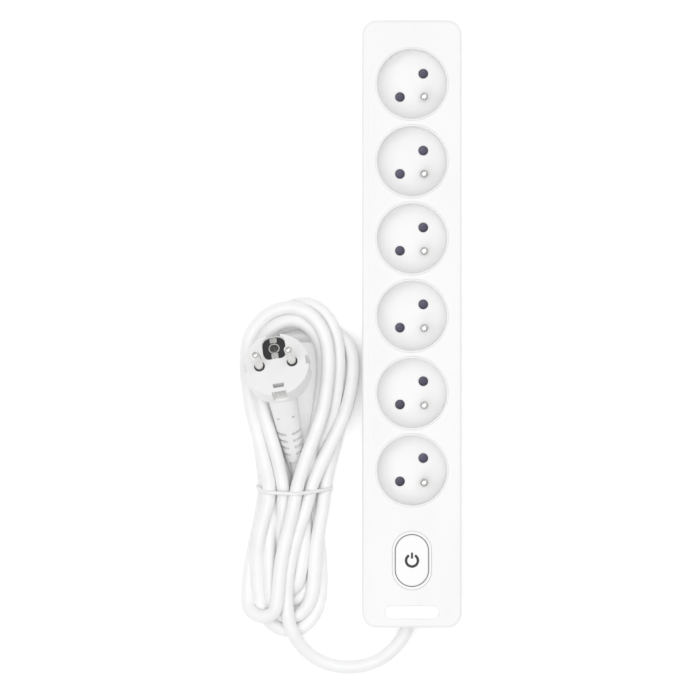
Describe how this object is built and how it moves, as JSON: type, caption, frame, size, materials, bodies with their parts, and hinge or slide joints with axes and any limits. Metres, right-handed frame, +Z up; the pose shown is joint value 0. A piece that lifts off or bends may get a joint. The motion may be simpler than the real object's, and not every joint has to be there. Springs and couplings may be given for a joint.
{
  "type": "power strip",
  "caption": "Long white socket strip with round recessed mains sockets, a push switch with a power symbol, and its lead tied in a hank with an angled plug.",
  "frame": {"origin": "middle of the housing's footprint, on the surface that it stands on", "axes": "+Y along the strip, away from the switch and the lead; +X across it; +Z up, out of the sockets"},
  "size_m": [0.1274, 0.377, 0.0557],
  "materials": {
    "housing_white": "satin moulded",
    "socket_white": "satin moulded",
    "button_white": "gloss",
    "badge_white": "gloss",
    "symbol_black": "matt",
    "shutter_grey": "matt",
    "carrier_natural": "matt",
    "nickel_brass": "nickel plated",
    "bare_brass": "stamped",
    "spring_steel": "drawn wire",
    "screw_steel": "zinc plated",
    "foot_rubber": "soft",
    "switch_black": "matt",
    "core_brown": "smooth sheath",
    "core_blue": "smooth sheath",
    "core_green_yellow": "striped sheath",
    "cord_white": "smooth sheath",
    "tie_white": "thin strap",
    "plug_white": "satin moulded"
  },
  "bodies": {
    "housing": {"bottom_cover": "housing_white", "top_cover": "housing_white", "rubber_feet": "foot_rubber", "cover_screws": "screw_steel", "badge_plate": "badge_white", "live_busbar": "bare_brass", "neutral_busbar": "bare_brass", "earth_busbar": "bare_brass", "button_bezel": "housing_white", "switch_body": "switch_black", "switch_lid": "switch_black", "switch_terminals": "bare_brass", "switch_spring": "spring_steel", "cord_gland": "plug_white", "cable_clamp": "carrier_natural", "clamp_screws": "screw_steel", "wires_live": "core_brown", "wires_neutral": "core_blue", "wire_earth": "core_green_yellow", "cord_lead": "cord_white", "hank_tie": "tie_white", "cord_hank": "cord_white", "plug_body": "plug_white", "plug_pins": "nickel_brass", "plug_earth_contact": "nickel_brass", "socket_cup_1": "socket_white", "earth_pin_1": "nickel_brass", "shutter_guide_1": "carrier_natural", "shutter_spring_1": "spring_steel", "socket_cup_2": "socket_white", "earth_pin_2": "nickel_brass", "shutter_guide_2": "carrier_natural", "shutter_spring_2": "spring_steel", "socket_cup_3": "socket_white", "earth_pin_3": "nickel_brass", "shutter_guide_3": "carrier_natural", "shutter_spring_3": "spring_steel", "socket_cup_4": "socket_white", "earth_pin_4": "nickel_brass", "shutter_guide_4": "carrier_natural", "shutter_spring_4": "spring_steel", "socket_cup_5": "socket_white", "earth_pin_5": "nickel_brass", "shutter_guide_5": "carrier_natural", "shutter_spring_5": "spring_steel", "socket_cup_6": "socket_white", "earth_pin_6": "nickel_brass", "shutter_guide_6": "carrier_natural", "shutter_spring_6": "spring_steel"},
    "button": {"button_cap": "button_white", "power_symbol": "symbol_black", "switch_plunger": "carrier_natural", "contact_bridge": "bare_brass"},
    "slider_1": {"shutter_1": "shutter_grey"},
    "slider_2": {"shutter_2": "shutter_grey"},
    "slider_3": {"shutter_3": "shutter_grey"},
    "slider_4": {"shutter_4": "shutter_grey"},
    "slider_5": {"shutter_5": "shutter_grey"},
    "slider_6": {"shutter_6": "shutter_grey"}
  },
  "joints": [
    {"name": "button_press", "type": "slide", "parent": "housing", "child": "button", "axis": [0, 0, -1], "range_m": [0, 0.003], "stiffness_N_per_m": 600, "springref_m": -0.003, "deforming": ["switch_spring"]},
    {"name": "shutter_1_slide", "type": "slide", "parent": "housing", "child": "slider_1", "axis": [-0.7071, 0.7071, 0], "range_m": [0, 0.006], "stiffness_N_per_m": 120, "springref_m": -0.003, "deforming": ["shutter_spring_1"]},
    {"name": "shutter_2_slide", "type": "slide", "parent": "housing", "child": "slider_2", "axis": [-0.7071, 0.7071, 0], "range_m": [0, 0.006], "stiffness_N_per_m": 120, "springref_m": -0.003, "deforming": ["shutter_spring_2"]},
    {"name": "shutter_3_slide", "type": "slide", "parent": "housing", "child": "slider_3", "axis": [-0.7071, 0.7071, 0], "range_m": [0, 0.006], "stiffness_N_per_m": 120, "springref_m": -0.003, "deforming": ["shutter_spring_3"]},
    {"name": "shutter_4_slide", "type": "slide", "parent": "housing", "child": "slider_4", "axis": [-0.7071, 0.7071, 0], "range_m": [0, 0.006], "stiffness_N_per_m": 120, "springref_m": -0.003, "deforming": ["shutter_spring_4"]},
    {"name": "shutter_5_slide", "type": "slide", "parent": "housing", "child": "slider_5", "axis": [-0.7071, 0.7071, 0], "range_m": [0, 0.006], "stiffness_N_per_m": 120, "springref_m": -0.003, "deforming": ["shutter_spring_5"]},
    {"name": "shutter_6_slide", "type": "slide", "parent": "housing", "child": "slider_6", "axis": [-0.7071, 0.7071, 0], "range_m": [0, 0.006], "stiffness_N_per_m": 120, "springref_m": -0.003, "deforming": ["shutter_spring_6"]}
  ]
}
